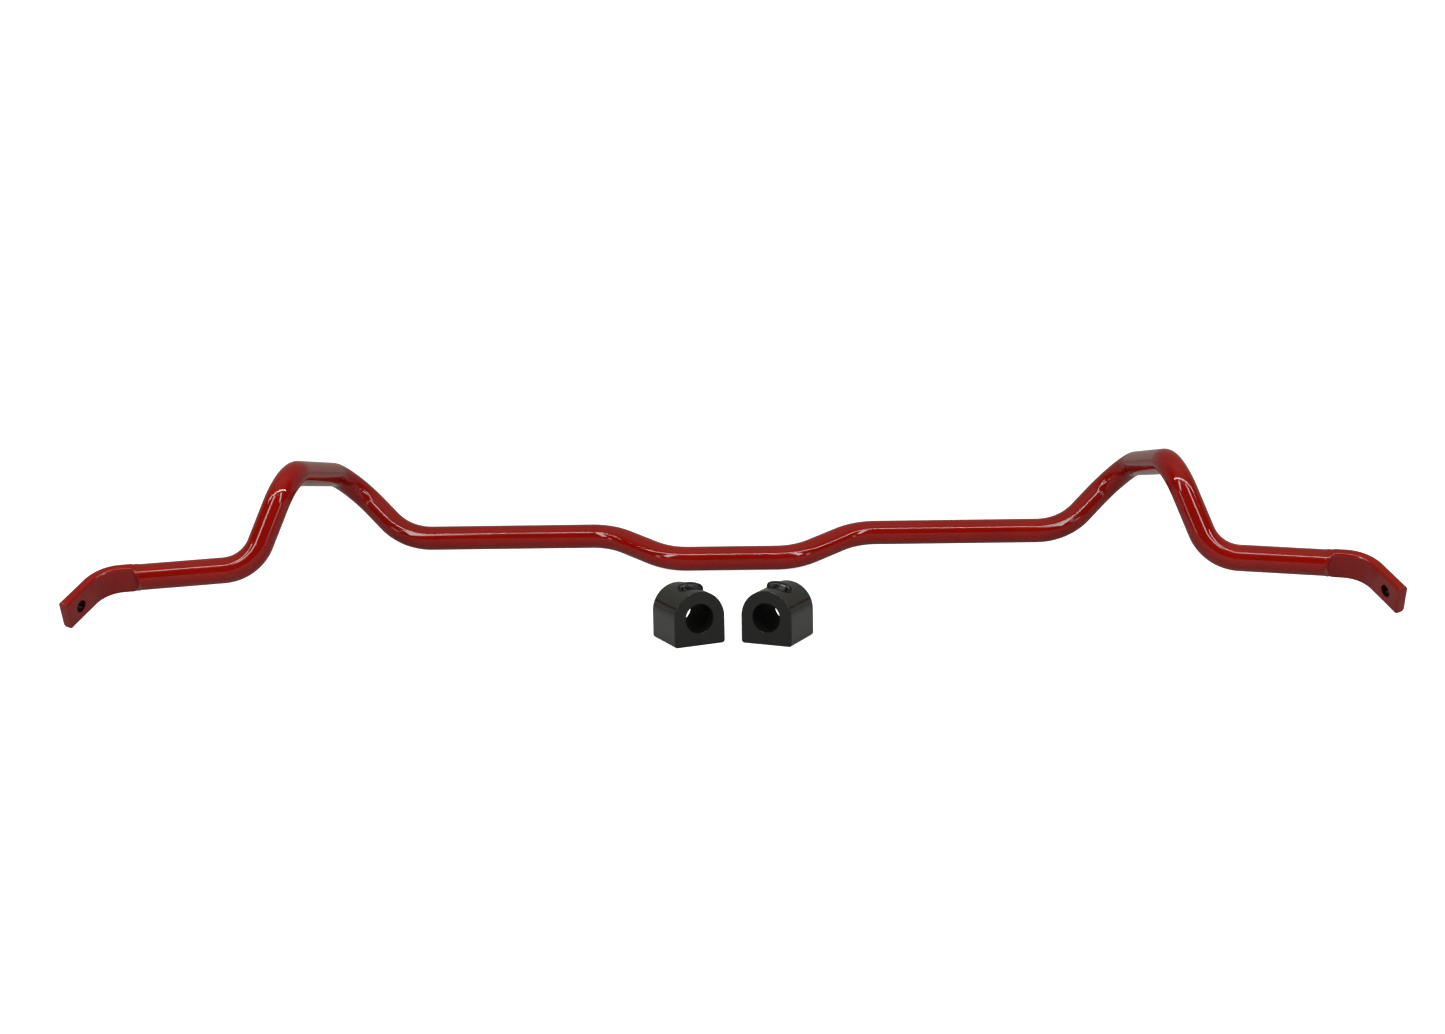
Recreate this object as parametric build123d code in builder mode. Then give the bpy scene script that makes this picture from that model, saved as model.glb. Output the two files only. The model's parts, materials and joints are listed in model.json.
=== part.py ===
from build123d import *
import math
import os

# A front anti-roll (sway) bar and its two D-shaped chassis bushes, standing loose on the ground in front of it.
# X runs along the bar, Z is up from the ground, and the bar's arms reach forward, towards negative Y.
# The origin is on the ground, in the middle of the whole set's footprint.

# ---- bar ----
BAR_D = 23.0                # solid round spring steel
SEAT_Y = 152.5              # the straight bush seats lie on this line, behind the origin
SEAT_Z = 27.5               # height of the seats' axis when the bar lies on the ground
MAIN_BEND = 60.0            # centreline radius of the bends in the middle of the bar
HUMP_BEND = 36.0            # centreline radius of the tighter bends in the humps


def from_seats(x, forward, z):
    """A point given by its sideways place, its distance in front of the seats' axis, and its height."""
    return Vector(x, SEAT_Y - forward, z)


# Corners of the centreline on the right half, where its straight runs would meet.
DROP_CORNER = from_seats(60.5, 36.5, BAR_D / 2)
SEAT_INNER = from_seats(118.0, 0.0, SEAT_Z)
SEAT_OUTER = from_seats(317.5, 0.0, SEAT_Z)
HUMP_BACK = from_seats(382.5, -35.0, 85.5)
HUMP_FRONT = from_seats(386.5, 156.0, 117.0)
ARM_ROOT = from_seats(416.5, 185.0, 38.0)
BLADE_BEND = from_seats(538.5, 210.5, 34.3)
BLADE_TIP = from_seats(556.5, 252.0, 12.6)

# ---- forged flat ends ----
BLADE_W = 27.5
BLADE_T = 9.0
BLADE_EDGE = 3.0            # rounding of the blade's long edges
BLADE_RADIUS = 30.0         # centreline radius of the bend in the blade
FLAT_RUN = 25.0             # flat length between the forging's shoulder and the bend's corner
SHOULDER_RUN = 8.0          # length over which the round bar becomes flat
EYE_D = 10.5                # clears an M10 link stud
EYE_FROM_TIP = 15.5

# ---- bushes ----
BUSH_W = 43.5
BUSH_L = 44.5
BUSH_BORE_D = BAR_D + 0.6   # loose on the bar until its bracket squeezes it
BUSH_AXIS_Z = 22.0
BUSH_FOOT = 2.4             # rounding of the long edges of the base
SLIT_W = 0.2                # hairline cut from the bore through the base, so that the bush opens over the bar
TAB_W = 7.5                 # along the bush
TAB_RISE = 3.6
TAB_HALF_ANGLE = 26.0       # how far the locating tab reaches each way over the crown
TAB_OFFSET = 2.2            # the tab sits a little to the right of the crown's middle
TAB_ROOT_Z = 37.5           # the tab grows from inside the crown, clear of the bore
TAB_SOFT = 1.3              # rounding of the tab's top edge
BUSH_PLACES = {
    "left": (-28.0, 307.5, 26.8),
    "right": (43.5, 307.5, -23.7),
}

os.makedirs("parts", exist_ok=True)

arm_dir = (BLADE_BEND - ARM_ROOT).normalized()
tip_dir = (BLADE_TIP - BLADE_BEND).normalized()
blade_across = tip_dir.cross(arm_dir).normalized()
eye_dir = tip_dir.cross(blade_across).normalized()
flat_start = BLADE_BEND - arm_dir * FLAT_RUN
round_end = flat_start - arm_dir * SHOULDER_RUN
eye_centre = BLADE_TIP - tip_dir * EYE_FROM_TIP

round_section = Plane(origin=round_end, x_dir=blade_across, z_dir=arm_dir)
flat_section = Plane(origin=flat_start, x_dir=blade_across, z_dir=arm_dir)

with BuildPart() as sway_bar:
    with BuildLine():
        FilletPolyline(
            Vector(0, DROP_CORNER.Y, DROP_CORNER.Z),
            DROP_CORNER, SEAT_INNER, SEAT_OUTER, HUMP_BACK, HUMP_FRONT, ARM_ROOT, round_end,
            radius=[MAIN_BEND, MAIN_BEND, MAIN_BEND, HUMP_BEND, HUMP_BEND, HUMP_BEND],
        )
    with BuildSketch(Plane(origin=(0, DROP_CORNER.Y, DROP_CORNER.Z), z_dir=(1, 0, 0))):
        Circle(BAR_D / 2)
    sweep()

    with BuildSketch(round_section):
        Circle(BAR_D / 2)
    with BuildSketch(flat_section):
        RectangleRounded(BLADE_W, BLADE_T, BLADE_EDGE)
    loft()

    with BuildLine():
        FilletPolyline(flat_start, BLADE_BEND, BLADE_TIP, radius=[BLADE_RADIUS])
    with BuildSketch(flat_section):
        RectangleRounded(BLADE_W, BLADE_T, BLADE_EDGE)
    sweep()

    with BuildSketch(Plane(origin=eye_centre, z_dir=eye_dir)):
        Circle(EYE_D / 2)
    extrude(amount=BLADE_T, both=True, mode=Mode.SUBTRACT)

    mirror(about=Plane.YZ)

sway_bar.part.label = "sway_bar"
export_step(sway_bar.part, "parts/sway_bar.step")

crown = BUSH_W / 2
tab_top_r = crown + TAB_RISE

for side, (bush_x, bush_forward, turn) in BUSH_PLACES.items():
    across = Vector(math.cos(math.radians(turn)), math.sin(math.radians(turn)), 0)
    base_centre = from_seats(bush_x, bush_forward, 0)
    section = Plane(origin=base_centre, x_dir=across, z_dir=across.cross(Vector(0, 0, 1)))
    axis_centre = Vector(0, BUSH_AXIS_Z)

    with BuildPart() as bush:
        with BuildSketch(section) as profile:
            with Locations(axis_centre):
                Circle(crown)
            with Locations((0, BUSH_AXIS_Z / 2)):
                Rectangle(BUSH_W, BUSH_AXIS_Z)
            fillet(profile.vertices().group_by(Axis.Y)[0], BUSH_FOOT)
        extrude(amount=BUSH_L / 2, both=True)

        with BuildSketch(section):
            with Locations(axis_centre):
                Circle(BUSH_BORE_D / 2)
        extrude(amount=BUSH_L / 2, both=True, mode=Mode.SUBTRACT)

        # The locating tab is a rib over the crown, round-ended from above and trimmed to a round top.
        with BuildSketch(Plane(origin=base_centre + Vector(0, 0, TAB_ROOT_Z), x_dir=across, z_dir=(0, 0, 1))):
            with Locations((TAB_OFFSET, 0)):
                SlotOverall(2 * tab_top_r * math.sin(math.radians(TAB_HALF_ANGLE)), TAB_W)
        extrude(amount=BUSH_AXIS_Z + tab_top_r - TAB_ROOT_Z)
        with BuildSketch(section):
            with Locations((0, BUSH_AXIS_Z + tab_top_r)):
                Rectangle(BUSH_W, crown)
            with Locations(axis_centre):
                Circle(tab_top_r, mode=Mode.SUBTRACT)
        extrude(amount=BUSH_L / 2, both=True, mode=Mode.SUBTRACT)
        fillet(bush.faces(Select.LAST).edges(), TAB_SOFT)

        with BuildSketch(section):
            with Locations((0, BUSH_AXIS_Z / 2)):
                Rectangle(SLIT_W, BUSH_AXIS_Z)
        extrude(amount=BUSH_L, both=True, mode=Mode.SUBTRACT)

    bush.part.label = "bush_" + side
    export_step(bush.part, "parts/bush_" + side + ".step")
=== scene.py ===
"""A red anti-roll bar and its two black chassis bushes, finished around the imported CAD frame."""

import json
import math

import bmesh
import bpy
import numpy as np
from mathutils import Matrix, Vector


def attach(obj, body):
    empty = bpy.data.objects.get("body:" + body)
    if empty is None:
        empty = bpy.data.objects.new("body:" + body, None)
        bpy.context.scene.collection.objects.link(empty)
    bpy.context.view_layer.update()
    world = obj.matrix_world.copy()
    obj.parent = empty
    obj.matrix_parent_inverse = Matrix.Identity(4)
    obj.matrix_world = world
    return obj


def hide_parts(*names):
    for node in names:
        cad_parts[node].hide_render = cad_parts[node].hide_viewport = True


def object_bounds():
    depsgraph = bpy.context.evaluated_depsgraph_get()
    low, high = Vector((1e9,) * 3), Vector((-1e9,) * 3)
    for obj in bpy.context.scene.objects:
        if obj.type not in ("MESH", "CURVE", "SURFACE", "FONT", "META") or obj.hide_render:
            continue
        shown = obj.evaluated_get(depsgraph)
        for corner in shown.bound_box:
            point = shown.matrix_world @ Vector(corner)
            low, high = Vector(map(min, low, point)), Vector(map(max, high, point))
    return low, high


MM = 0.001
MICRON = 0.001 * MM

# ---- bar ----
BAR_R = 11.5 * MM
MAIN_BEND = 60 * MM         # centreline radius of the bends in the middle of the bar
HUMP_BEND = 36 * MM         # centreline radius of the tighter bends in the humps

# Corners of the centreline on the right half, where its straight runs would meet, as millimetres
# sideways, forward of the seats' axis, and up.
DROP_CORNER = (60.5, 36.5, 11.5)
SEAT_INNER = (118.0, 0.0, 27.5)
SEAT_OUTER = (317.5, 0.0, 27.5)
HUMP_BACK = (382.5, -35.0, 85.5)
HUMP_FRONT = (386.5, 156.0, 117.0)
ARM_ROOT = (416.5, 185.0, 38.0)
BLADE_BEND = (538.5, 210.5, 34.3)
BLADE_TIP = (556.5, 252.0, 12.6)

# ---- forged ends ----
BLADE_W = 27.5 * MM
BLADE_T = 9.0 * MM
BLADE_EDGE = 3.0 * MM       # rounding of the blade's long edges
BLADE_BEND_R = 30 * MM
TIP_EDGE = 0.9 * MM         # rounding left by the cut at the blade's end
FLAT_RUN = 25.0 * MM        # flat length between the forging's shoulder and the bend's corner
SHOULDER_RUN = 8.0 * MM     # length over which the round bar becomes flat
SHOULDER_SPREAD = 0.07      # how much wider than the bar the metal stands where it is pressed flat
SPREAD_BY = 0.6             # share of the shoulder by which the metal has spread
PRESSED_BY = 0.7            # share of the shoulder by which the two ramps have reached the faces
SETTLING_FROM = 0.45        # share of the shoulder from which the section settles into the blade's
EYE_R = 5.25 * MM
EYE_FROM_TIP = 15.5 * MM
EYE_SOFT = 0.5 * MM         # the coating rounds the eye's rim
EYE_BLOCK = 13.0 * MM       # the face round the eye is meshed this far back from its centre

# ---- bushes ----
BUSH_W = 43.5 * MM
BUSH_L = 44.5 * MM
BORE_R = 11.8 * MM
BUSH_FOOT = 2.4 * MM        # rounding of the long edges of the base
BUSH_SOFT = 0.45 * MM       # rounding of the end faces' outline
MOUTH_SOFT = 0.4 * MM       # rounding of the bore's mouths
SLIT_W = 0.2 * MM
GROOVE_DEPTH = 0.15 * MM    # crossed grease grooves in the bore
GROOVE_STARTS = 8
GROOVE_LEAD = 60.0 * MM     # length in which a groove would go once round the bore
GROOVE_SHARE = 0.16         # half width of a groove, as a share of the distance to the next
GROOVE_MARGIN = 2.0 * MM    # plain bore left at each mouth
TAB_W = 7.5 * MM
TAB_RISE = 3.6 * MM
TAB_HALF_ANGLE = math.radians(26)
TAB_OFFSET = 2.2 * MM       # the tab sits a little to the right of the crown's middle
TAB_SOFT = 2.4 * MM
TAB_DEPTH = 1.5 * MM        # how far the tab's root reaches into the crown

# ---- mesh fineness ----
RUN_STEP = 6 * MM
ARC_STEP = math.radians(1.5)
SHOULDER_STEPS = 14
LONG_SEGMENTS = 12          # along each wide face of a section
SHORT_SEGMENTS = 6          # along each edge of a section
CORNER_SEGMENTS = 7
SOFT_SEGMENTS = 4           # round each small rounding
SIDE_SEGMENTS = 14          # along half of a bush's base, and up each of its sides
FOOT_SEGMENTS = 6
CROWN_SEGMENTS = 32         # round half of a bush's crown
BORE_STEPS = 64             # along a bore, fine enough for its grooves
BODY_STEPS = 10             # along the outside of a bush
FACE_RINGS = 3              # across a bush's end face
TAB_END_SEGMENTS = 14
TAB_SIDE_SEGMENTS = 16
TAB_TOP_RINGS = 4
BAR_CREASE = math.radians(50)
BUSH_CREASE = math.radians(40)
WELD = 0.001 * MM
HAIR = 0.01 * MM            # a gap too small to see

# ---- finishes ----
RED_DEEP = (0.262, 0.0028, 0.0006)
RED_BRIGHT = (0.296, 0.0036, 0.0009)
# painted shade: the eye's wall is coloured dark red to stand for the shade inside the hole
RED_EYE_PAINTED_SHADE = (0.030, 0.0010, 0.0006)
BLACK_DEEP = (0.0038, 0.0050, 0.0038)
BLACK_BLOOM = (0.0060, 0.0078, 0.0058)
# painted shade: the bore's wall is coloured darker to stand for the shade inside it
BLACK_BORE_PAINTED_SHADE = (0.0020, 0.0022, 0.0020)
FINISH_IOR = 1.5

# ---- camera ----
CAMERA_PLACE = Vector((0.0508, -1.5819, 0.3563))
CAMERA_TURN = 0.033         # radians to the left of straight ahead
CAMERA_DIP = 0.1777         # radians below the horizon
CAMERA_ROLL = 0.019         # radians clockwise
CAMERA_LENS = 45.5          # millimetres, on a 36 mm sensor
CAMERA_SHIFT = -0.0024

# ---- studio ----
FLOOR_SIZE = 24.0
BOUNCE_SIZE = 3.0
BOUNCE_DROP = 0.3 * MM      # the bounce lies this far under the floor's level
LIGHT_DISTANCE = 2.2        # from the middle of the set
SURROUND_TINT = (1.0, 0.98, 0.86)
SURROUND_GREYS = ((0.0, 0.16), (0.47, 0.15), (0.51, 0.03), (0.78, 0.03), (0.90, 0.22), (1.0, 0.45))
BEHIND_SHARES = ((0.45, 0.0), (0.62, 0.976))
BEHIND_COLOUR = (0.30, 0.29, 0.26)

# Each light: its name, the two directions between which it is seen from the middle of the set (degrees
# to the right of the camera, and above the horizon), its width in metres, and its radiance.
LIGHTS = (
    ("overhead_strip", (-66, 28), (66, 28), 0.055, 23.0),
    ("left_softbox", (-36, 14), (-26, 42), 0.30, 9.0),
    ("right_softbox", (36, 14), (26, 42), 0.30, 9.0),
    ("left_low_fill", (-48, -3), (-48, 9), 0.20, 4.0),
    ("right_low_fill", (48, -3), (48, 9), 0.20, 4.0),
    ("small_lamp", (0.9, 41), (3.1, 41), 0.08, 12.0),
)

# The Mix node's sockets for numbers and for colours share their names, so they go by number.
NUMBER_A, NUMBER_B, COLOUR_A, COLOUR_B = 2, 3, 6, 7
NUMBER_RESULT, COLOUR_RESULT = 0, 2

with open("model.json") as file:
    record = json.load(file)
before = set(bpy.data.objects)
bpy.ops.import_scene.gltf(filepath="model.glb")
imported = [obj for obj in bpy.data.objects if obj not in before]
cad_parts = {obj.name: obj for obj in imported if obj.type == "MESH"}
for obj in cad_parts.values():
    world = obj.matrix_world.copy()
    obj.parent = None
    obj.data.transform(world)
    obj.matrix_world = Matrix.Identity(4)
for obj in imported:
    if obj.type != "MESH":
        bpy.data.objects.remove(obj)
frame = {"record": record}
cad_low, cad_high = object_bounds()
mounts = {mount["name"]: mount for mount in frame["record"]["mounts"]}
seat = Vector(mounts["seat_right"]["pos_m"])


# ---------------------------------------------------------------- mesh helpers

class Shell:
    """Vertices and faces gathered loop by loop."""

    def __init__(self):
        self.points = []
        self.faces = []

    def loop(self, points):
        """Adds the points and returns their numbers."""
        first = len(self.points)
        self.points.extend(tuple(point) for point in points)
        return list(range(first, len(self.points)))

    def bridge(self, one, other, closed=True, keep=None):
        """Quads between two loops of the same length; keep says which of the gaps are filled."""
        count = len(one)
        for i in range(count if closed else count - 1):
            if keep is None or keep(i):
                j = (i + 1) % count
                self.faces.append((one[i], one[j], other[j], other[i]))

    def piece(self, name, crease):
        """A tidy mesh object: no loose or doubled points, outward normals, sharp only at real creases."""
        mesh = bpy.data.meshes.new(name)
        mesh.from_pydata(self.points, [], self.faces)
        work = bmesh.new()
        work.from_mesh(mesh)
        bmesh.ops.delete(work, geom=[v for v in work.verts if not v.link_faces], context="VERTS")
        bmesh.ops.remove_doubles(work, verts=work.verts, dist=WELD)
        bmesh.ops.dissolve_degenerate(work, edges=work.edges, dist=WELD / 2)
        bmesh.ops.recalc_face_normals(work, faces=work.faces)
        work.to_mesh(mesh)
        work.free()
        mesh.shade_smooth()
        mesh.set_sharp_from_angle(angle=crease)
        made = bpy.data.objects.new(name, mesh)
        bpy.context.scene.collection.objects.link(made)
        return made


def even(start, end, count):
    """count + 1 evenly spaced values, both ends included."""
    return [start + (end - start) * i / count for i in range(count + 1)]


def smooth_step(share):
    """0 up to 0 and 1 from 1 on, with a gentle start and end between."""
    share = min(1.0, max(0.0, share))
    return share * share * (3 - 2 * share)


def weight_normals(piece):
    """Keeps wide flat faces flat in the shading beside their small roundings."""
    modifier = piece.modifiers.new("flat_faces", "WEIGHTED_NORMAL")
    modifier.keep_sharp = True
    modifier.weight = 60


# ---------------------------------------------------------------- the bar

def place(corner):
    """A corner of the centreline in the row frame, in metres."""
    sideways, forward, up = corner
    return Vector((sideways * MM, seat.y - forward * MM, up * MM))


def run_stations(start, end):
    """(point, direction) pairs along a straight run, without its end."""
    count = max(1, math.ceil((end - start).length / RUN_STEP))
    direction = (end - start).normalized()
    return [(start.lerp(end, i / count), direction) for i in range(count)]


def route(corners, radii):
    """(point, direction) pairs along straight runs joined by tangent arcs."""
    stations = []
    here = corners[0]
    for before, corner, after, radius in zip(corners, corners[1:], corners[2:], radii):
        arriving = (corner - before).normalized()
        leaving = (after - corner).normalized()
        turn = arriving.angle(leaving)
        setback = radius * math.tan(turn / 2)
        start = corner - arriving * setback
        inward = (leaving - arriving * arriving.dot(leaving)).normalized()
        centre = start + inward * radius
        stations += run_stations(here, start)
        steps = math.ceil(turn / ARC_STEP)
        for angle in even(0, turn, steps)[:-1]:
            point = centre - inward * radius * math.cos(angle) + arriving * radius * math.sin(angle)
            stations.append((point, arriving * math.cos(angle) + inward * math.sin(angle)))
        here = corner + leaving * setback
    stations += run_stations(here, corners[-1])
    stations.append((corners[-1], (corners[-1] - here).normalized()))
    return stations


def flat_section():
    """Points and outward normals round the blade's section: x across the blade, y through it."""
    half_x, half_y = BLADE_W / 2 - BLADE_EDGE, BLADE_T / 2 - BLADE_EDGE
    points, normals = [], []
    quarter = ((half_x, half_y, 0), (-half_x, half_y, 1), (-half_x, -half_y, 2), (half_x, -half_y, 3))
    for number, (x, y, turns) in enumerate(quarter):
        for angle in even(turns * math.pi / 2, (turns + 1) * math.pi / 2, CORNER_SEGMENTS):
            normals.append((math.cos(angle), math.sin(angle)))
            points.append((x + BLADE_EDGE * math.cos(angle), y + BLADE_EDGE * math.sin(angle)))
        next_x, next_y, _ = quarter[(number + 1) % 4]
        segments = LONG_SEGMENTS if number % 2 == 0 else SHORT_SEGMENTS
        last = np.array(points[-1])
        shift = np.array((next_x - x, next_y - y))
        for share in even(0, 1, segments)[1:-1]:
            points.append(tuple(last + shift * share))
            normals.append(normals[-1])
    return np.array(points), np.array(normals)


def round_section(count):
    """The same number of points round the bar, in step with the blade's section."""
    half_edge = SHORT_SEGMENTS / 2
    angles = [2 * math.pi * (i + half_edge) / count for i in range(count)]
    return np.array([(BAR_R * math.cos(angle), BAR_R * math.sin(angle)) for angle in angles])


def shoulder_section(round_bar, flat, share):
    """A section of the forging's shoulder: the bar spread sideways and pressed between two ramps."""
    pressed = round_bar.copy()
    pressed[:, 0] *= 1 + SHOULDER_SPREAD * smooth_step(share / SPREAD_BY)
    ramp_height = BAR_R + (BLADE_T / 2 - BAR_R) * min(1.0, share / PRESSED_BY)
    pressed[:, 1] = np.clip(pressed[:, 1], -ramp_height, ramp_height)
    settled = smooth_step((share - SETTLING_FROM) / (1 - SETTLING_FROM))
    return pressed * (1 - settled) + flat * settled


def ring(point, direction, across, section):
    """A section's points in space, square to the direction."""
    through = np.array(direction.cross(across))
    return np.array(point) + np.outer(section[:, 0], np.array(across)) + np.outer(section[:, 1], through)


def transported(stations, across):
    """across carried back along the stations from the last, without twist."""
    carried = []
    for _, direction in reversed(stations):
        across = (across - direction * across.dot(direction)).normalized()
        carried.append(across)
    return carried[::-1]


def edge_round(block, one, other):
    """The points round a face of the block of sections that holds the eye, which lies between the
    sections' points numbered one and other."""
    step = 1 if other > one else -1
    edge = [block[0][i] for i in range(one, other + step, step)]
    edge += [row[other] for row in block[1:]]
    edge += [block[-1][i] for i in range(other - step, one - step, -step)]
    edge += [row[one] for row in block[-2:0:-1]]
    return edge


def eye_loops(shell, edge_top, edge_under, centre, along, across, through):
    """Fills the blade's two faces round the eye, with the eye's rounded rims and wall between them."""
    offsets = np.array([shell.points[i] for i in edge_top]) - np.array(centre)
    plan = np.stack([offsets @ np.array(across), offsets @ np.array(along)], axis=1)
    reach = np.linalg.norm(plan, axis=1)
    heading = plan / reach[:, None]

    def circle(radius, height):
        flat = heading * np.reshape(radius, (-1, 1))
        return [centre + across * u + along * w + through * height for u, w in flat]

    rim = EYE_R + EYE_SOFT
    face = [(rim + (reach - rim) * share, BLADE_T / 2) for share in (0.75, 0.5, 0.25, 0.0)]
    for angle in even(0, math.pi / 2, SOFT_SEGMENTS)[1:]:
        radius = EYE_R + EYE_SOFT * (1 - math.sin(angle))
        face.append((radius, BLADE_T / 2 - EYE_SOFT * (1 - math.cos(angle))))
    levels = [circle(radius, height) for radius, height in face]
    levels += [circle(radius, -height) for radius, height in reversed(face)]
    last = edge_top
    for level in levels:
        fresh = shell.loop(level)
        shell.bridge(last, fresh)
        last = fresh
    shell.bridge(last, edge_under)


def mark_eye(mesh, centre, along, across):
    """Marks the eye's wall, where the material paints shade: a dark red with a weaker reflection."""
    mark = mesh.attributes.new("eye", "FLOAT", "POINT")
    for vertex, value in zip(mesh.vertices, mark.data):
        offset = vertex.co - centre
        radius = math.hypot(offset.dot(across), offset.dot(along))
        on_wall = radius < EYE_R + EYE_SOFT / 3 and offset.length < BLADE_W / 2
        value.value = 1.0 if on_wall else 0.0


def make_bar():
    """The whole bar as one skin: half of it built from the middle to the tip, then mirrored."""
    drop, seat_in, seat_out, back, front, root, bend, tip = [place(corner) for corner in (
        DROP_CORNER, SEAT_INNER, SEAT_OUTER, HUMP_BACK, HUMP_FRONT, ARM_ROOT, BLADE_BEND, BLADE_TIP)]
    middle = Vector((0, drop.y, drop.z))
    arm = (bend - root).normalized()
    along = (tip - bend).normalized()
    across = along.cross(arm).normalized()
    shoulder_end = bend - arm * FLAT_RUN
    shoulder_start = shoulder_end - arm * SHOULDER_RUN
    eye = tip - along * EYE_FROM_TIP
    block_start = eye - along * EYE_BLOCK
    block_end = tip - along * TIP_EDGE

    radii = [MAIN_BEND] * 3 + [HUMP_BEND] * 3
    stations = route([middle, drop, seat_in, seat_out, back, front, root, shoulder_start], radii)[:-1]
    flatness = [0.0] * len(stations) + even(0, 1, SHOULDER_STEPS)
    for share in even(0, 1, SHOULDER_STEPS):
        stations.append((shoulder_start.lerp(shoulder_end, share), arm))
    stations += route([shoulder_end, bend, block_start], [BLADE_BEND_R])[1:]
    block_first = len(stations) - 1
    for share in even(0, 1, LONG_SEGMENTS)[1:]:
        stations.append((block_start.lerp(block_end, share), along))
    flatness += [1.0] * (len(stations) - len(flatness))

    flat, normals = flat_section()
    round_bar = round_section(len(flat))
    carried = transported(stations, across)
    shell = Shell()
    rings = []
    for (point, direction), side, share in zip(stations, carried, flatness):
        section = shoulder_section(round_bar, flat, share)
        rings.append(shell.loop(ring(point, direction, side, section)))

    # The gaps of a section that lie along its two wide faces stay open round the eye.
    top = range(CORNER_SEGMENTS, CORNER_SEGMENTS + LONG_SEGMENTS)
    opposite = LONG_SEGMENTS + 2 * CORNER_SEGMENTS + SHORT_SEGMENTS
    under = range(top.start + opposite, top.stop + opposite)
    for number, (one, other) in enumerate(zip(rings, rings[1:])):
        if number < block_first:
            shell.bridge(one, other)
        else:
            shell.bridge(one, other, keep=lambda i: i not in top and i not in under)

    block = rings[block_first:]
    edge_top = edge_round(block, top.start, top.stop)
    edge_under = edge_round(block, under.stop, under.start)
    eye_loops(shell, edge_top, edge_under, eye, along, across, along.cross(across))

    last = rings[-1]
    for angle in even(0, math.pi / 2, SOFT_SEGMENTS)[1:]:
        section = flat - normals * TIP_EDGE * (1 - math.cos(angle))
        fresh = shell.loop(ring(block_end + along * TIP_EDGE * math.sin(angle), along, across, section))
        shell.bridge(last, fresh)
        last = fresh
    shell.faces.append(tuple(last))

    bar = shell.piece("bar_skin", BAR_CREASE)
    mark_eye(bar.data, eye, along, across)
    mirror = bar.modifiers.new("left_half", "MIRROR")
    mirror.merge_threshold = HAIR
    return bar


# ---------------------------------------------------------------- the bushes

def d_outline():
    """Outline of a bush's end face, from one side of the slit round to the other, with outward normals.
    x is across the bush and y is up from the bore's axis."""
    axis_up = mounts["bush_bore_left"]["pos_m"][2]
    half, low = BUSH_W / 2, -axis_up
    foot = (half - BUSH_FOOT, low + BUSH_FOOT)
    right = [((x, low), (0, -1)) for x in even(SLIT_W / 2, foot[0], SIDE_SEGMENTS)[:-1]]
    for angle in even(-math.pi / 2, 0, FOOT_SEGMENTS):
        normal = (math.cos(angle), math.sin(angle))
        right.append(((foot[0] + BUSH_FOOT * normal[0], foot[1] + BUSH_FOOT * normal[1]), normal))
    right += [((half, y), (1, 0)) for y in even(foot[1], 0, SIDE_SEGMENTS)[1:-1]]
    for angle in even(0, math.pi / 2, CROWN_SEGMENTS):
        normal = (math.cos(angle), math.sin(angle))
        right.append(((half * normal[0], half * normal[1]), normal))
    left = [((-x, y), (-u, v)) for (x, y), (u, v) in reversed(right[:-1])]
    points, normals = zip(*(right + left))
    return np.array(points), np.array(normals)


def bore_points(outline):
    """The point of the bore's wall in line with each point of the outline; the ends lie on the slit."""
    radial = outline / np.linalg.norm(outline, axis=1)[:, None]
    inner = radial * BORE_R
    for end, side in ((0, 1), (-1, -1)):
        inner[end] = (side * SLIT_W / 2, -math.sqrt(BORE_R ** 2 - (SLIT_W / 2) ** 2))
    return inner


def groove(angle, depth_in):
    """How far two crossed sets of grease grooves cut into the bore's wall, from 0 to 1."""
    if abs(depth_in) > BUSH_L / 2 - GROOVE_MARGIN:
        return 0.0
    cuts = []
    for hand in (1, -1):
        phase = GROOVE_STARTS * (angle / (2 * math.pi) + hand * depth_in / GROOVE_LEAD) % 1.0
        away = min(phase, 1 - phase) / GROOVE_SHARE
        cuts.append(max(0.0, 1 - away * away))
    return max(cuts)


def make_body():
    """A bush without its tab, in its own axes: x across, y up from the bore's axis, z along the bore."""
    outline, normals = d_outline()
    inner = bore_points(outline)
    outward = outline - inner
    outward /= np.linalg.norm(outward, axis=1)[:, None]
    angles = np.arctan2(inner[:, 1], inner[:, 0])
    half = BUSH_L / 2
    shell = Shell()
    rows = []

    def row(plan, along):
        rows.append(shell.loop([(x, y, along) for x, y in plan]))

    for along in even(-half + MOUTH_SOFT, half - MOUTH_SOFT, BORE_STEPS):
        cuts = np.array([GROOVE_DEPTH * groove(angle, along) for angle in angles])
        row(inner + outward * cuts[:, None], along)
    mouth = inner + outward * MOUTH_SOFT
    edge = outline - normals * BUSH_SOFT
    # The rows go out over one end face, back along the outside, and in over the other end face.
    for end in (1, -1):
        face = []
        for angle in even(0, math.pi / 2, SOFT_SEGMENTS)[1:]:
            rounded = mouth - outward * MOUTH_SOFT * math.cos(angle)
            face.append((rounded, end * (half - MOUTH_SOFT * (1 - math.sin(angle)))))
        for share in even(0, 1, FACE_RINGS)[1:]:
            face.append((mouth + (edge - mouth) * share, end * half))
        for angle in even(0, math.pi / 2, SOFT_SEGMENTS)[1:]:
            rounded = edge + normals * BUSH_SOFT * math.sin(angle)
            face.append((rounded, end * (half - BUSH_SOFT * (1 - math.cos(angle)))))
        if end == 1:
            for share in even(0, 1, BODY_STEPS)[1:-1]:
                face.append((outline, (half - BUSH_SOFT) * (1 - 2 * share)))
        else:
            face.reverse()
        for plan, along in face:
            row(plan, along)
    for one, other in zip(rows, rows[1:] + rows[:1]):
        shell.bridge(one, other, closed=False)
    shell.faces.append(tuple(row_points[0] for row_points in rows))
    shell.faces.append(tuple(row_points[-1] for row_points in rows))
    return shell


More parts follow.
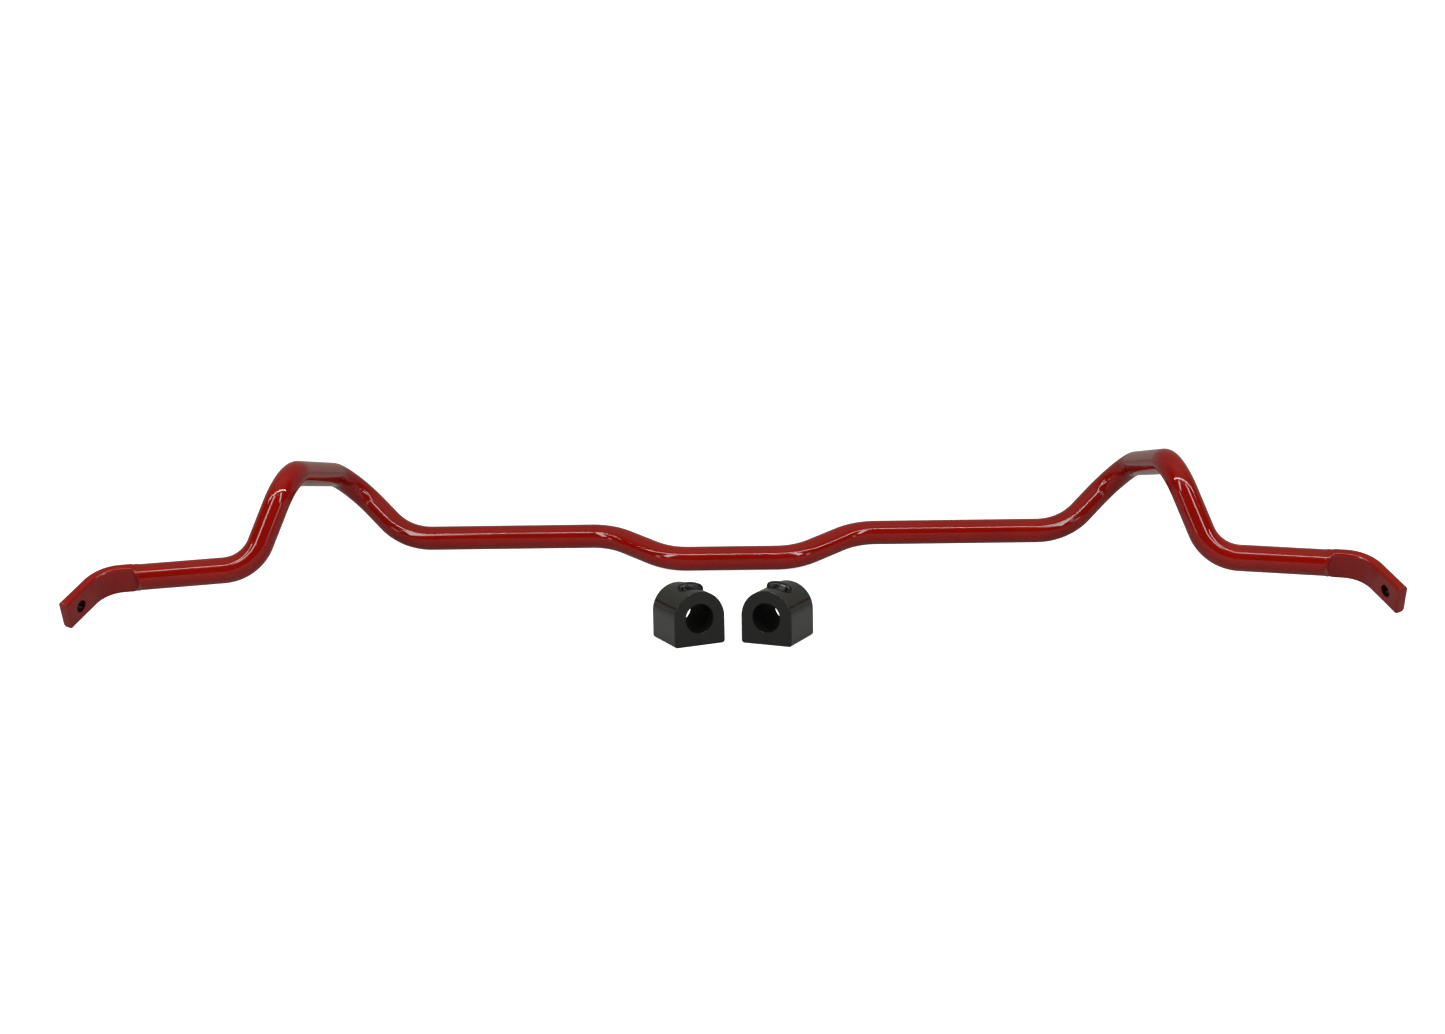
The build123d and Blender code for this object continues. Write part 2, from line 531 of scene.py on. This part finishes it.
def make_tab():
    """The locating tab: a round-ended rib over the crown, with a rounded top edge."""
    crown = BUSH_W / 2
    reach = (crown + TAB_RISE) * math.sin(TAB_HALF_ANGLE) - TAB_W / 2
    plan = []
    for side in (1, -1):
        start = -side * math.pi / 2
        for angle in even(start, start + math.pi, TAB_END_SEGMENTS):
            plan.append((side * reach, math.cos(angle), math.sin(angle)))
        for x in even(side * reach, -side * reach, TAB_SIDE_SEGMENTS)[1:-1]:
            plan.append((x, 0.0, side))
    levels = [(0.0, TAB_RISE + TAB_DEPTH), (0.0, (TAB_RISE + TAB_SOFT) / 2)]
    for angle in even(0, math.pi / 2, 2 * SOFT_SEGMENTS):
        levels.append((TAB_SOFT * (1 - math.cos(angle)), TAB_SOFT * (1 - math.sin(angle))))
    for inset in even(TAB_SOFT, TAB_W / 2, TAB_TOP_RINGS)[1:]:
        levels.append((inset, 0.0))
    shell = Shell()
    rows = []
    for inset, drop in levels:
        width = TAB_W / 2 - inset
        points = []
        for centre, cos, sin in plan:
            x = TAB_OFFSET + centre + width * cos
            top = math.sqrt((crown + TAB_RISE - drop) ** 2 - x * x)
            points.append((x, top, width * sin))
        rows.append(shell.loop(points))
    for one, other in zip(rows, rows[1:]):
        shell.bridge(one, other)
    shell.faces.append(tuple(rows[0]))
    return shell


def mark_bore(mesh):
    """Marks the bore's wall, which the material paints darker as painted shade and makes dull; the mesh
    is in a bush's own axes.
    """
    mark = mesh.attributes.new("bore", "FLOAT", "POINT")
    for vertex, value in zip(mesh.vertices, mark.data):
        x, y, _ = vertex.co
        value.value = 1.0 if math.hypot(x, y) < BORE_R + GROOVE_DEPTH + HAIR else 0.0


def make_bush(side):
    """A bush as one skin, standing where its CAD solid stands."""
    body = make_body().piece(f"bush_skin_{side}", BUSH_CREASE)
    tab = make_tab().piece(f"tab_{side}", BUSH_CREASE)
    union = body.modifiers.new("tab", "BOOLEAN")
    union.operation = "UNION"
    union.solver = "EXACT"
    union.object = tab
    graph = bpy.context.evaluated_depsgraph_get()
    joined = bpy.data.meshes.new_from_object(body.evaluated_get(graph))
    body.modifiers.clear()
    body.data = joined
    bpy.data.objects.remove(tab)
    joined.shade_smooth()
    joined.set_sharp_from_angle(angle=BUSH_CREASE)
    mark_bore(joined)

    bore = mounts[f"bush_bore_{side}"]
    axis = Vector(bore["axis"]).normalized()
    across = Vector((-axis.y, axis.x, 0))
    turn = Matrix((across, Vector((0, 0, 1)), axis)).transposed().to_4x4()
    joined.transform(Matrix.Translation(Vector(bore["pos_m"])) @ turn)
    weight_normals(body)
    return body


# ---------------------------------------------------------------- materials

class Nodes:
    """A material's node tree, with the few kinds of node that the two finishes share."""

    def __init__(self, name):
        self.material = bpy.data.materials.new(name)
        self.material.use_nodes = True
        self.tree = self.material.node_tree
        self.shader = self.tree.nodes["Principled BSDF"]
        self.place = self.tree.nodes.new("ShaderNodeTexCoord").outputs["Object"]

    def noise(self, size, detail=2.0, roughness=0.5, distortion=0.0):
        """Noise whose features are about size metres across."""
        node = self.tree.nodes.new("ShaderNodeTexNoise")
        node.inputs["Scale"].default_value = 1 / size
        node.inputs["Detail"].default_value = detail
        node.inputs["Roughness"].default_value = roughness
        node.inputs["Distortion"].default_value = distortion
        self.tree.links.new(self.place, node.inputs["Vector"])
        return node.outputs["Fac"]

    def remap(self, value, low, high, to_low, to_high):
        """A number carried from one range to another, and kept inside it."""
        node = self.tree.nodes.new("ShaderNodeMapRange")
        self.tree.links.new(value, node.inputs["Value"])
        node.inputs["From Min"].default_value = low
        node.inputs["From Max"].default_value = high
        node.inputs["To Min"].default_value = to_low
        node.inputs["To Max"].default_value = to_high
        return node.outputs["Result"]

    def attribute(self, name):
        """A number stored on the mesh's points."""
        node = self.tree.nodes.new("ShaderNodeAttribute")
        node.attribute_name = name
        return node.outputs["Fac"]

    def blend(self, share, one, other):
        """A number between an output and a plain number."""
        node = self.tree.nodes.new("ShaderNodeMix")
        self.tree.links.new(share, node.inputs["Factor"])
        self.tree.links.new(one, node.inputs[NUMBER_A])
        node.inputs[NUMBER_B].default_value = other
        return node.outputs[NUMBER_RESULT]

    def mix(self, share, one, other):
        """A colour between two others; each is a colour or an output."""
        node = self.tree.nodes.new("ShaderNodeMix")
        node.data_type = "RGBA"
        self.tree.links.new(share, node.inputs["Factor"])
        for socket, colour in ((node.inputs[COLOUR_A], one), (node.inputs[COLOUR_B], other)):
            if isinstance(colour, bpy.types.NodeSocket):
                self.tree.links.new(colour, socket)
            else:
                socket.default_value = (*colour, 1)
        return node.outputs[COLOUR_RESULT]

    def bump(self, height, distance, below=None):
        """A bump whose highest points stand distance metres up, on top of another bump."""
        node = self.tree.nodes.new("ShaderNodeBump")
        node.inputs["Strength"].default_value = 1.0
        node.inputs["Distance"].default_value = distance
        self.tree.links.new(height, node.inputs["Height"])
        if below is not None:
            self.tree.links.new(below, node.inputs["Normal"])
        return node.outputs["Normal"]

    def feed(self, name, value):
        """Links a value to one of the shader's sockets."""
        self.tree.links.new(value, self.shader.inputs[name])


def red_powder_coat():
    """Glossy red powder coat: faint orange peel, slight cloudiness, patches dulled by handling, and
    painted shade on the eye's wall.
    """
    nodes = Nodes("red_powder_coat")
    cloud = nodes.remap(nodes.noise(45 * MM, detail=3.0), 0.35, 0.65, 0.0, 1.0)
    outside = nodes.mix(cloud, RED_DEEP, RED_BRIGHT)
    # Painted shade: the eye's wall is given a dark red and a weaker reflection, for the shade inside the
    # hole.
    eye = nodes.attribute("eye")
    nodes.feed("Base Color", nodes.mix(eye, outside, RED_EYE_PAINTED_SHADE))
    nodes.feed("Specular IOR Level", nodes.remap(eye, 0.0, 1.0, 0.5, 0.1))
    handled = nodes.noise(18 * MM, detail=4.0, roughness=0.6, distortion=0.4)
    nodes.feed("Roughness", nodes.remap(handled, 0.35, 0.70, 0.05, 0.10))
    peel = nodes.bump(nodes.noise(3 * MM, detail=1.0), 2.5 * MICRON)
    nodes.feed("Normal", nodes.bump(nodes.noise(0.9 * MM, detail=2.0), 0.5 * MICRON, below=peel))
    nodes.shader.inputs["IOR"].default_value = FINISH_IOR
    return nodes.material


def black_polyurethane():
    """Cast black polyurethane, with the mould's fine texture, a greasy, uneven gloss, and painted shade
    on the bore's dull wall.
    """
    nodes = Nodes("black_polyurethane")
    bloom = nodes.remap(nodes.noise(12 * MM, detail=4.0, roughness=0.6), 0.35, 0.70, 0.0, 1.0)
    outside = nodes.mix(bloom, BLACK_DEEP, BLACK_BLOOM)
    # Painted shade: the bore's wall is given a darker black and a weaker reflection, as well as a dull
    # roughness.
    bore = nodes.attribute("bore")
    nodes.feed("Base Color", nodes.mix(bore, outside, BLACK_BORE_PAINTED_SHADE))
    gloss = nodes.remap(nodes.noise(6 * MM, detail=4.0), 0.30, 0.75, 0.10, 0.20)
    nodes.feed("Roughness", nodes.blend(bore, gloss, 0.75))
    nodes.feed("Specular IOR Level", nodes.remap(bore, 0.0, 1.0, 0.5, 0.12))
    swirl = nodes.bump(nodes.noise(6 * MM, detail=2.0), 22 * MICRON)
    nodes.feed("Normal", nodes.bump(nodes.noise(0.7 * MM, detail=3.0), 2.5 * MICRON, below=swirl))
    nodes.shader.inputs["IOR"].default_value = FINISH_IOR
    return nodes.material


# ---------------------------------------------------------------- studio

def towards(azimuth, elevation):
    """A direction from the object; azimuth is to the right of straight towards the camera, in degrees."""
    azimuth, elevation = math.radians(azimuth), math.radians(elevation)
    level = math.cos(elevation)
    return Vector((math.sin(azimuth) * level, -math.cos(azimuth) * level, math.sin(elevation)))


def strip_light(name, one, other, width, radiance, target):
    """A long softbox seen from the target between two directions."""
    start = target + towards(*one) * LIGHT_DISTANCE
    end = target + towards(*other) * LIGHT_DISTANCE
    lamp = bpy.data.lights.new(name, "AREA")
    lamp.shape = "RECTANGLE"
    lamp.size = (end - start).length
    lamp.size_y = width
    lamp.energy = radiance * math.pi * lamp.size * lamp.size_y
    made = bpy.data.objects.new(name, lamp)
    bpy.context.scene.collection.objects.link(made)
    centre = (start + end) / 2
    back = (centre - target).normalized()
    long_way = (end - start).normalized()
    long_way = (long_way - back * long_way.dot(back)).normalized()
    turn = Matrix((long_way, back.cross(long_way), back)).transposed().to_4x4()
    made.matrix_world = Matrix.Translation(centre) @ turn


def paper(name, glow, albedo=0.0):
    """Matt grey of that albedo, which also glows white by itself."""
    material = bpy.data.materials.new(name)
    material.use_nodes = True
    shader = material.node_tree.nodes["Principled BSDF"]
    shader.inputs["Base Color"].default_value = (albedo, albedo, albedo, 1)
    shader.inputs["Roughness"].default_value = 1.0
    shader.inputs["Specular IOR Level"].default_value = 0.0
    shader.inputs["Emission Color"].default_value = (1, 1, 1, 1)
    shader.inputs["Emission Strength"].default_value = glow
    return material


def only_for_camera(piece):
    """The object is lit and reflected by the studio, and not by this piece."""
    piece.visible_diffuse = False
    piece.visible_glossy = False
    piece.visible_transmission = False
    piece.visible_shadow = False


def make_floor():
    """A pale floor, and a white dome that meets it just inside its edges."""
    bpy.ops.mesh.primitive_grid_add(x_subdivisions=4, y_subdivisions=4, size=FLOOR_SIZE)
    floor = bpy.context.object
    floor.name = "floor"
    floor.data.materials.append(paper("floor_paper", glow=0.93, albedo=0.8))
    bpy.ops.mesh.primitive_uv_sphere_add(segments=48, ring_count=24, radius=FLOOR_SIZE * 0.49)
    surround = bpy.context.object
    surround.name = "surround"
    surround.data.materials.append(paper("surround_paper", glow=1.1))
    for piece in (floor, surround):
        only_for_camera(piece)


def make_bounce():
    """The grey studio floor, as the object's underside and its reflections see it."""
    bpy.ops.mesh.primitive_grid_add(x_subdivisions=4, y_subdivisions=4, size=BOUNCE_SIZE)
    bounce = bpy.context.object
    bounce.name = "bounce"
    bounce.location.z = -BOUNCE_DROP
    bounce.data.materials.append(paper("bounce_paper", glow=0.0, albedo=0.48))
    bounce.visible_camera = False
    bounce.visible_transmission = False


def light_surroundings():
    """A dim studio: grey below and behind, dark in front at eye level, and paler overhead."""
    world = bpy.data.worlds.new("studio")
    bpy.context.scene.world = world
    world.use_nodes = True
    tree = world.node_tree
    place = tree.nodes.new("ShaderNodeTexCoord").outputs["Generated"]
    split = tree.nodes.new("ShaderNodeSeparateXYZ")
    tree.links.new(place, split.inputs["Vector"])
    by_height = tree.nodes.new("ShaderNodeValToRGB")
    tree.links.new(remapped(tree, split.outputs["Z"], -1, 1), by_height.inputs["Fac"])
    ramp(by_height, SURROUND_GREYS, SURROUND_TINT)
    behind = tree.nodes.new("ShaderNodeValToRGB")
    tree.links.new(remapped(tree, split.outputs["Y"], -1, 1), behind.inputs["Fac"])
    ramp(behind, BEHIND_SHARES, (1.0, 1.0, 1.0))
    mix = tree.nodes.new("ShaderNodeMix")
    mix.data_type = "RGBA"
    tree.links.new(behind.outputs["Color"], mix.inputs["Factor"])
    tree.links.new(by_height.outputs["Color"], mix.inputs[COLOUR_A])
    mix.inputs[COLOUR_B].default_value = (*BEHIND_COLOUR, 1)
    tree.links.new(mix.outputs[COLOUR_RESULT], tree.nodes["Background"].inputs["Color"])
    tree.nodes["Background"].inputs["Strength"].default_value = 1.0


def remapped(tree, value, low, high):
    """A number carried from the range low to high to the range 0 to 1."""
    node = tree.nodes.new("ShaderNodeMapRange")
    node.inputs["From Min"].default_value = low
    node.inputs["From Max"].default_value = high
    tree.links.new(value, node.inputs["Value"])
    return node.outputs["Result"]


def ramp(node, stops, tint):
    """Sets a colour ramp's stops, each a position and a grey, with every grey tinted."""
    elements = node.color_ramp.elements
    while len(elements) > 1:
        elements.remove(elements[-1])
    for number, (position, grey) in enumerate(stops):
        element = elements[0] if number == 0 else elements.new(position)
        element.position = position
        element.color = (*(grey * part for part in tint), 1)


def make_camera():
    """The camera that takes the main picture."""
    lens = bpy.data.cameras.new("camera")
    lens.sensor_width = 36.0
    lens.lens = CAMERA_LENS
    lens.shift_x = CAMERA_SHIFT
    camera = bpy.data.objects.new("camera", lens)
    bpy.context.scene.collection.objects.link(camera)
    look = Matrix.Rotation(CAMERA_TURN, 4, "Z")
    look @= Matrix.Rotation(math.pi / 2 - CAMERA_DIP, 4, "X")
    look @= Matrix.Rotation(-CAMERA_ROLL, 4, "Z")
    camera.matrix_world = Matrix.Translation(CAMERA_PLACE) @ look
    bpy.context.scene.camera = camera


# ---------------------------------------------------------------- build

make_camera()
bpy.context.scene.view_settings.view_transform = "Standard"
light_surroundings()
make_floor()
make_bounce()
middle_of_set = (cad_low + cad_high) / 2
for light in LIGHTS:
    strip_light(*light, middle_of_set)

bar = make_bar()
bar.data.materials.append(red_powder_coat())
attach(bar, "bar")
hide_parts("sway_bar")

bush_finish = black_polyurethane()
for side in ("left", "right"):
    bush = make_bush(side)
    bush.data.materials.append(bush_finish)
    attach(bush, f"{side}_bush")
    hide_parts(f"bush_{side}")
